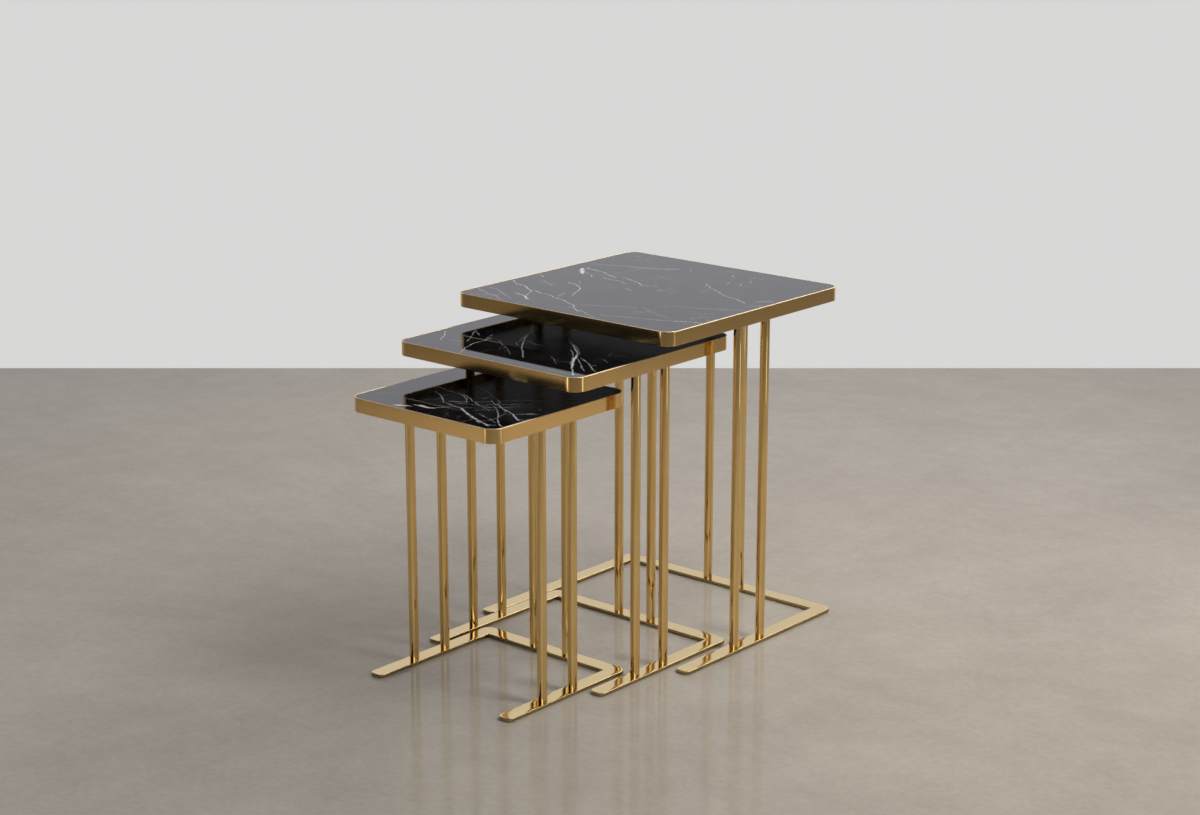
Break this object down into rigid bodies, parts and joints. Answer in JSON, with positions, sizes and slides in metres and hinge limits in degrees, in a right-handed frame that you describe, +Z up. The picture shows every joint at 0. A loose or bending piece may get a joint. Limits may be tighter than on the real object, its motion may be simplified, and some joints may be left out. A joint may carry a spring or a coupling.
{
  "type": "nest of tables",
  "caption": "Nesting side tables with square black marble tops in brass rims, on paired brass uprights and open U-shaped bases that slide into each other.",
  "frame": {"origin": "on the floor, at the centre of the bounding box of the three tables as they stand at rest", "axes": "+Z up; +Y from the open side that the tables are drawn out of towards the large table's closed back; +X to the right, seen from the open side"},
  "size_m": [0.436, 0.729, 0.55],
  "materials": {
    "black_marble": "polished",
    "satin_brass": "satin",
    "polished_brass_bar": "polished",
    "polished_brass_tube": "polished",
    "black_paint": "matte",
    "zinc_steel": "satin",
    "glide_pad": "matte"
  },
  "bodies": {
    "large_table": {"large_stone_top": "black_marble", "large_rim": "satin_brass", "large_support_panel": "black_paint", "large_base": "polished_brass_bar", "large_tube_left_front": "polished_brass_tube", "large_tube_left_back": "polished_brass_tube", "large_tube_right_front": "polished_brass_tube", "large_tube_right_back": "polished_brass_tube", "large_tube_back_left": "polished_brass_tube", "large_tube_back_right": "polished_brass_tube", "large_tube_plugs": "zinc_steel", "large_top_screws": "zinc_steel", "large_base_screws": "zinc_steel", "large_glides": "glide_pad"},
    "medium_table": {"medium_stone_top": "black_marble", "medium_rim": "satin_brass", "medium_support_panel": "black_paint", "medium_base": "polished_brass_bar", "medium_tube_left_front": "polished_brass_tube", "medium_tube_left_back": "polished_brass_tube", "medium_tube_right_front": "polished_brass_tube", "medium_tube_right_back": "polished_brass_tube", "medium_tube_back_left": "polished_brass_tube", "medium_tube_back_right": "polished_brass_tube", "medium_tube_plugs": "zinc_steel", "medium_top_screws": "zinc_steel", "medium_base_screws": "zinc_steel", "medium_glides": "glide_pad"},
    "small_table": {"small_stone_top": "black_marble", "small_rim": "satin_brass", "small_support_panel": "black_paint", "small_base": "polished_brass_bar", "small_tube_left_front": "polished_brass_tube", "small_tube_left_back": "polished_brass_tube", "small_tube_right_front": "polished_brass_tube", "small_tube_right_back": "polished_brass_tube", "small_tube_back_left": "polished_brass_tube", "small_tube_back_right": "polished_brass_tube", "small_tube_plugs": "zinc_steel", "small_top_screws": "zinc_steel", "small_base_screws": "zinc_steel", "small_glides": "glide_pad"}
  },
  "joints": [
    {"name": "medium_slide", "type": "slide", "parent": "large_table", "child": "medium_table", "axis": [0, -1, 0], "range_m": [-0.202, 0.21]},
    {"name": "small_slide", "type": "slide", "parent": "medium_table", "child": "small_table", "axis": [0, -1, 0], "range_m": [-0.179, 0.165]}
  ]
}
